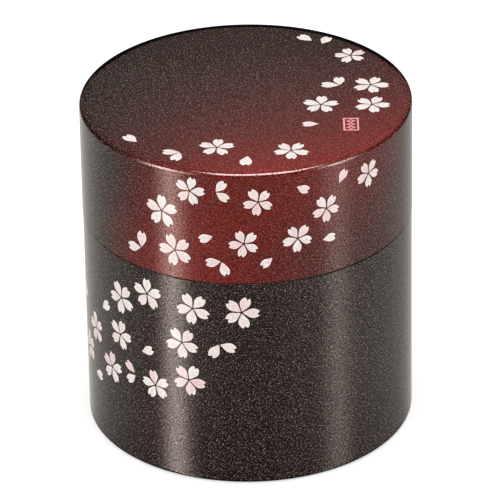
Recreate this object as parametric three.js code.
// A lacquered tea caddy: a round body with a tall inner neck, a flush outer lid that slides down over
// the neck, and a stopper-like inner lid with a knob. Millimetres, +Z up. The origin is the centre of
// the foot ring, on the surface that the caddy stands on.
import * as THREE from "three";

// Driving dimensions.
const LID_DIAMETER = 80;
const BODY_DIAMETER = 79.8;
const TOTAL_HEIGHT = 84.5;
const LID_HEIGHT = 29.5;
const NECK_HEIGHT = 17.5;

const GLUE_LINE = 0.05; // between pieces that are bonded together
const SLIDE_GAP = 0.15; // between pieces that slide on each other

// Outer lid.
const LID_WALL = 1.25;
const LID_CROWN = 1.6;
const TOP_EDGE_ROUND = 1.1;
const RIM_CHAMFER = 0.3;
const LINING_WALL = 0.9;
const LINING_CROWN = 0.8;
const LINING_SETBACK = 0.6; // the lining stops short of the lid's rim

// Body.
const BODY_WALL = 1.5;
const FOOT_ROUND = 1.0;
const FOOT_RING_WIDTH = 1.8;
const LEDGE_Z = 2.0;
const LEDGE_THICKNESS = 1.6;
const LEDGE_RADIUS = 33.5;
const BASE_THICKNESS = 1.25;
const CANISTER_WALL = 1.6;
const CANISTER_FLOOR = 1.5;
const SHOULDER_DROP = 0.8; // how far the canister's shoulder lies below the body's rim

// Inner lid.
const FLANGE_THICKNESS = 1.5;
const FLANGE_INSET = 0.35; // from the neck's outside
const SKIRT_DEPTH = 7;
const SKIRT_WALL = 2;
const GROOVE_DEPTH = 1.05;
const GROOVE_BOTTOM = 2; // above the skirt's lower edge
const GROOVE_HEIGHT = 1.8;
const GASKET_HEIGHT = 1.6;
const GASKET_GAP = 0.08; // between the gasket's lip and the neck
const BOSS_RADIUS = 6;
const BOSS_DEPTH = 2;
const TENON_RADIUS = 2.9;
const TENON_HOLE_RADIUS = 2.95;
const TENON_LENGTH = 2.6;
const KNOB_HEIGHT = 7;
const KNOB_RADIUS = 7.5;
const KNOB_STEM_RADIUS = 4.2;
const KNOB_COLLAR_RADIUS = 5.6;

// Facets round the axis, and points that each quarter round is cut into.
const FACETS = 64;
const KNOB_FACETS = 40;
const ARC_STEPS = 2;

// Levels and radii that follow from them.
const seamZ = TOTAL_HEIGHT - LID_HEIGHT;
const neckTopZ = seamZ + NECK_HEIGHT;
const lidRadius = LID_DIAMETER / 2;
const lidBoreRadius = lidRadius - LID_WALL;
const liningRadius = lidBoreRadius - GLUE_LINE;
const liningBoreRadius = liningRadius - LINING_WALL;
const crownUndersideZ = TOTAL_HEIGHT - LID_CROWN;
const liningTopZ = crownUndersideZ - GLUE_LINE;
const bodyRadius = BODY_DIAMETER / 2;
const bodyBoreRadius = bodyRadius - BODY_WALL;
const rebateRadius = bodyRadius - FOOT_ROUND - FOOT_RING_WIDTH;
const ledgeTopZ = LEDGE_Z + LEDGE_THICKNESS;
const canisterRadius = bodyBoreRadius - GLUE_LINE;
const canisterBoreRadius = canisterRadius - CANISTER_WALL;
const canisterBottomZ = ledgeTopZ + GLUE_LINE;
const neckRadius = liningBoreRadius - SLIDE_GAP;
const skirtRadius = canisterBoreRadius - SLIDE_GAP;
const skirtBoreRadius = skirtRadius - SKIRT_WALL;
const skirtBottomZ = neckTopZ - SKIRT_DEPTH;
const flangeRadius = neckRadius - FLANGE_INSET;
const flangeTopZ = neckTopZ + FLANGE_THICKNESS;
const grooveRadius = skirtRadius - GROOVE_DEPTH;
const grooveZ = skirtBottomZ + GROOVE_BOTTOM;
const bossZ = neckTopZ - BOSS_DEPTH;

const lacquer = (color) => new THREE.MeshStandardMaterial({ color, roughness: 0.3, metalness: 0.0 });
const materials = {
  lidLacquer: lacquer(0x5a1a18),
  bodyLacquer: lacquer(0x2a201c),
  innerBlack: new THREE.MeshStandardMaterial({ color: 0x141313, roughness: 0.35, metalness: 0.0 }),
  baseBlack: new THREE.MeshStandardMaterial({ color: 0x1b1918, roughness: 0.6, metalness: 0.0 }),
  silicone: new THREE.MeshStandardMaterial({ color: 0xd9d6cf, roughness: 0.7, metalness: 0.0 }),
};

// A closed half-section, drawn as radius and height, turned round the Z axis.
function turned(name, section, material, facets = FACETS) {
  const geometry = new THREE.LatheGeometry(section.getPoints(ARC_STEPS), facets);
  geometry.rotateX(Math.PI / 2);
  const mesh = new THREE.Mesh(geometry, material);
  mesh.name = name;
  return mesh;
}

// A quarter round of radius r about the point (x, z), from angle a to angle b in quarter turns.
function quarter(path, x, z, r, a, b) {
  path.absarc(x, z, r, (a * Math.PI) / 2, (b * Math.PI) / 2, b < a);
}

// The outer lid: a plain cup with its mouth down and one rounded top edge.
function lidShell() {
  const s = new THREE.Path();
  s.moveTo(0, crownUndersideZ);
  s.lineTo(lidBoreRadius, crownUndersideZ);
  s.lineTo(lidBoreRadius, seamZ);
  s.lineTo(lidRadius - RIM_CHAMFER, seamZ);
  s.lineTo(lidRadius, seamZ + RIM_CHAMFER);
  quarter(s, lidRadius - TOP_EDGE_ROUND, TOTAL_HEIGHT - TOP_EDGE_ROUND, TOP_EDGE_ROUND, 0, 1);
  s.lineTo(0, TOTAL_HEIGHT);
  return turned("lid_shell", s, materials.lidLacquer);
}

// The lid's black lining, bonded inside the shell. Its bore is what slides on the neck.
function lidLining() {
  const rimZ = seamZ + LINING_SETBACK;
  const s = new THREE.Path();
  s.moveTo(0, liningTopZ - LINING_CROWN);
  s.lineTo(liningBoreRadius, liningTopZ - LINING_CROWN);
  s.lineTo(liningBoreRadius, rimZ + LINING_WALL);
  s.lineTo(liningBoreRadius + LINING_WALL / 2, rimZ);
  s.lineTo(liningRadius, rimZ);
  s.lineTo(liningRadius, liningTopZ);
  s.lineTo(0, liningTopZ);
  return turned("lid_lining", s, materials.innerBlack);
}

// The body's outer wall: a tube with a foot ring, a rebate for the base and a ledge for the canister.
function bodyShell() {
  const s = new THREE.Path();
  s.moveTo(bodyBoreRadius, seamZ);
  s.lineTo(bodyBoreRadius, ledgeTopZ);
  s.lineTo(LEDGE_RADIUS, ledgeTopZ);
  s.lineTo(LEDGE_RADIUS, LEDGE_Z);
  s.lineTo(rebateRadius, LEDGE_Z);
  s.lineTo(rebateRadius, 0);
  quarter(s, bodyRadius - FOOT_ROUND, FOOT_ROUND, FOOT_ROUND, 3, 4);
  s.lineTo(bodyRadius, seamZ - RIM_CHAMFER);
  s.lineTo(bodyRadius - RIM_CHAMFER, seamZ);
  s.lineTo(bodyBoreRadius, seamZ);
  return turned("body_shell", s, materials.bodyLacquer);
}

// The disc set into the rebate from below, a little above the foot ring.
function baseDisc() {
  const radius = rebateRadius - GLUE_LINE;
  const topZ = LEDGE_Z - GLUE_LINE;
  const s = new THREE.Path();
  s.moveTo(0, topZ - BASE_THICKNESS);
  s.lineTo(radius, topZ - BASE_THICKNESS);
  s.lineTo(radius, topZ);
  s.lineTo(0, topZ);
  return turned("base_disc", s, materials.baseBlack);
}

// The inner canister, which holds the tea. Its upper part is the neck that both lids fit.
function innerCanister() {
  const shoulderZ = seamZ - SHOULDER_DROP;
  const neckLip = (neckRadius - canisterBoreRadius) / 2;
  const s = new THREE.Path();
  s.moveTo(0, canisterBottomZ);
  s.lineTo(canisterRadius, canisterBottomZ);
  s.lineTo(canisterRadius, shoulderZ);
  s.lineTo(neckRadius, shoulderZ);
  quarter(s, neckRadius - neckLip, neckTopZ - neckLip, neckLip, 0, 1);
  s.lineTo(canisterBoreRadius, neckTopZ);
  s.lineTo(canisterBoreRadius, canisterBottomZ + CANISTER_FLOOR);
  s.lineTo(0, canisterBottomZ + CANISTER_FLOOR);
  return turned("inner_canister", s, materials.innerBlack);
}

// The inner lid: a flange that rests on the neck, a skirt inside it with the gasket's groove, and a
// boss in the middle, bored for the knob's tenon.
function innerLidPlate() {
  const edge = FLANGE_THICKNESS / 2;
  const holeBottomZ = flangeTopZ - TENON_LENGTH - GLUE_LINE;
  const s = new THREE.Path();
  s.moveTo(0, bossZ);
  s.lineTo(BOSS_RADIUS, bossZ);
  s.lineTo(BOSS_RADIUS, neckTopZ);
  s.lineTo(skirtBoreRadius, neckTopZ);
  s.lineTo(skirtBoreRadius, skirtBottomZ);
  s.lineTo(skirtRadius, skirtBottomZ);
  s.lineTo(skirtRadius, grooveZ);
  s.lineTo(grooveRadius, grooveZ);
  s.lineTo(grooveRadius, grooveZ + GROOVE_HEIGHT);
  s.lineTo(skirtRadius, grooveZ + GROOVE_HEIGHT);
  s.lineTo(skirtRadius, neckTopZ);
  s.lineTo(flangeRadius, neckTopZ);
  s.lineTo(flangeRadius, neckTopZ + edge);
  quarter(s, flangeRadius - edge, neckTopZ + edge, edge, 0, 1);
  s.lineTo(TENON_HOLE_RADIUS, flangeTopZ);
  s.lineTo(TENON_HOLE_RADIUS, holeBottomZ);
  s.lineTo(0, holeBottomZ);
  return turned("inner_lid_plate", s, materials.innerBlack);
}

// The soft ring in the skirt's groove. Its rounded lip seals against the canister's bore.
function innerLidGasket() {
  const bore = grooveRadius + GLUE_LINE;
  const lip = GASKET_HEIGHT / 4;
  const lipRadius = canisterBoreRadius - GASKET_GAP;
  const z = grooveZ + (GROOVE_HEIGHT - GASKET_HEIGHT) / 2;
  const s = new THREE.Path();
  s.moveTo(bore, z + GASKET_HEIGHT);
  s.lineTo(bore, z);
  s.lineTo(lipRadius - lip, z);
  quarter(s, lipRadius - lip, z + lip, lip, 3, 4);
  quarter(s, lipRadius - lip, z + GASKET_HEIGHT - lip, lip, 0, 1);
  s.lineTo(bore, z + GASKET_HEIGHT);
  return turned("inner_lid_gasket", s, materials.silicone);
}

// The turned knob, with its tenon bonded into the plate's boss.
function innerLidKnob() {
  const seatZ = flangeTopZ + GLUE_LINE;
  const topZ = flangeTopZ + KNOB_HEIGHT;
  const headRound = 1.6;
  const collarHeight = 0.8;
  const s = new THREE.Path();
  s.moveTo(0, flangeTopZ - TENON_LENGTH);
  s.lineTo(TENON_RADIUS, flangeTopZ - TENON_LENGTH);
  s.lineTo(TENON_RADIUS, seatZ);
  s.lineTo(KNOB_COLLAR_RADIUS, seatZ);
  s.lineTo(KNOB_COLLAR_RADIUS, seatZ + collarHeight);
  s.lineTo(KNOB_STEM_RADIUS, seatZ + 2 * collarHeight);
  s.lineTo(KNOB_STEM_RADIUS, topZ - 2 * headRound);
  s.lineTo(KNOB_RADIUS - headRound / 2, topZ - 1.6 * headRound);
  quarter(s, KNOB_RADIUS - headRound, topZ - headRound, headRound, 0, 1);
  s.lineTo(0, topZ);
  return turned("inner_lid_knob", s, materials.innerBlack, KNOB_FACETS);
}

const lid = new THREE.Group().add(lidShell(), lidLining());
const body = new THREE.Group().add(bodyShell(), baseDisc(), innerCanister());
const innerLid = new THREE.Group().add(innerLidPlate(), innerLidGasket(), innerLidKnob());
const caddy = new THREE.Group().add(body, innerLid, lid);

export default caddy;
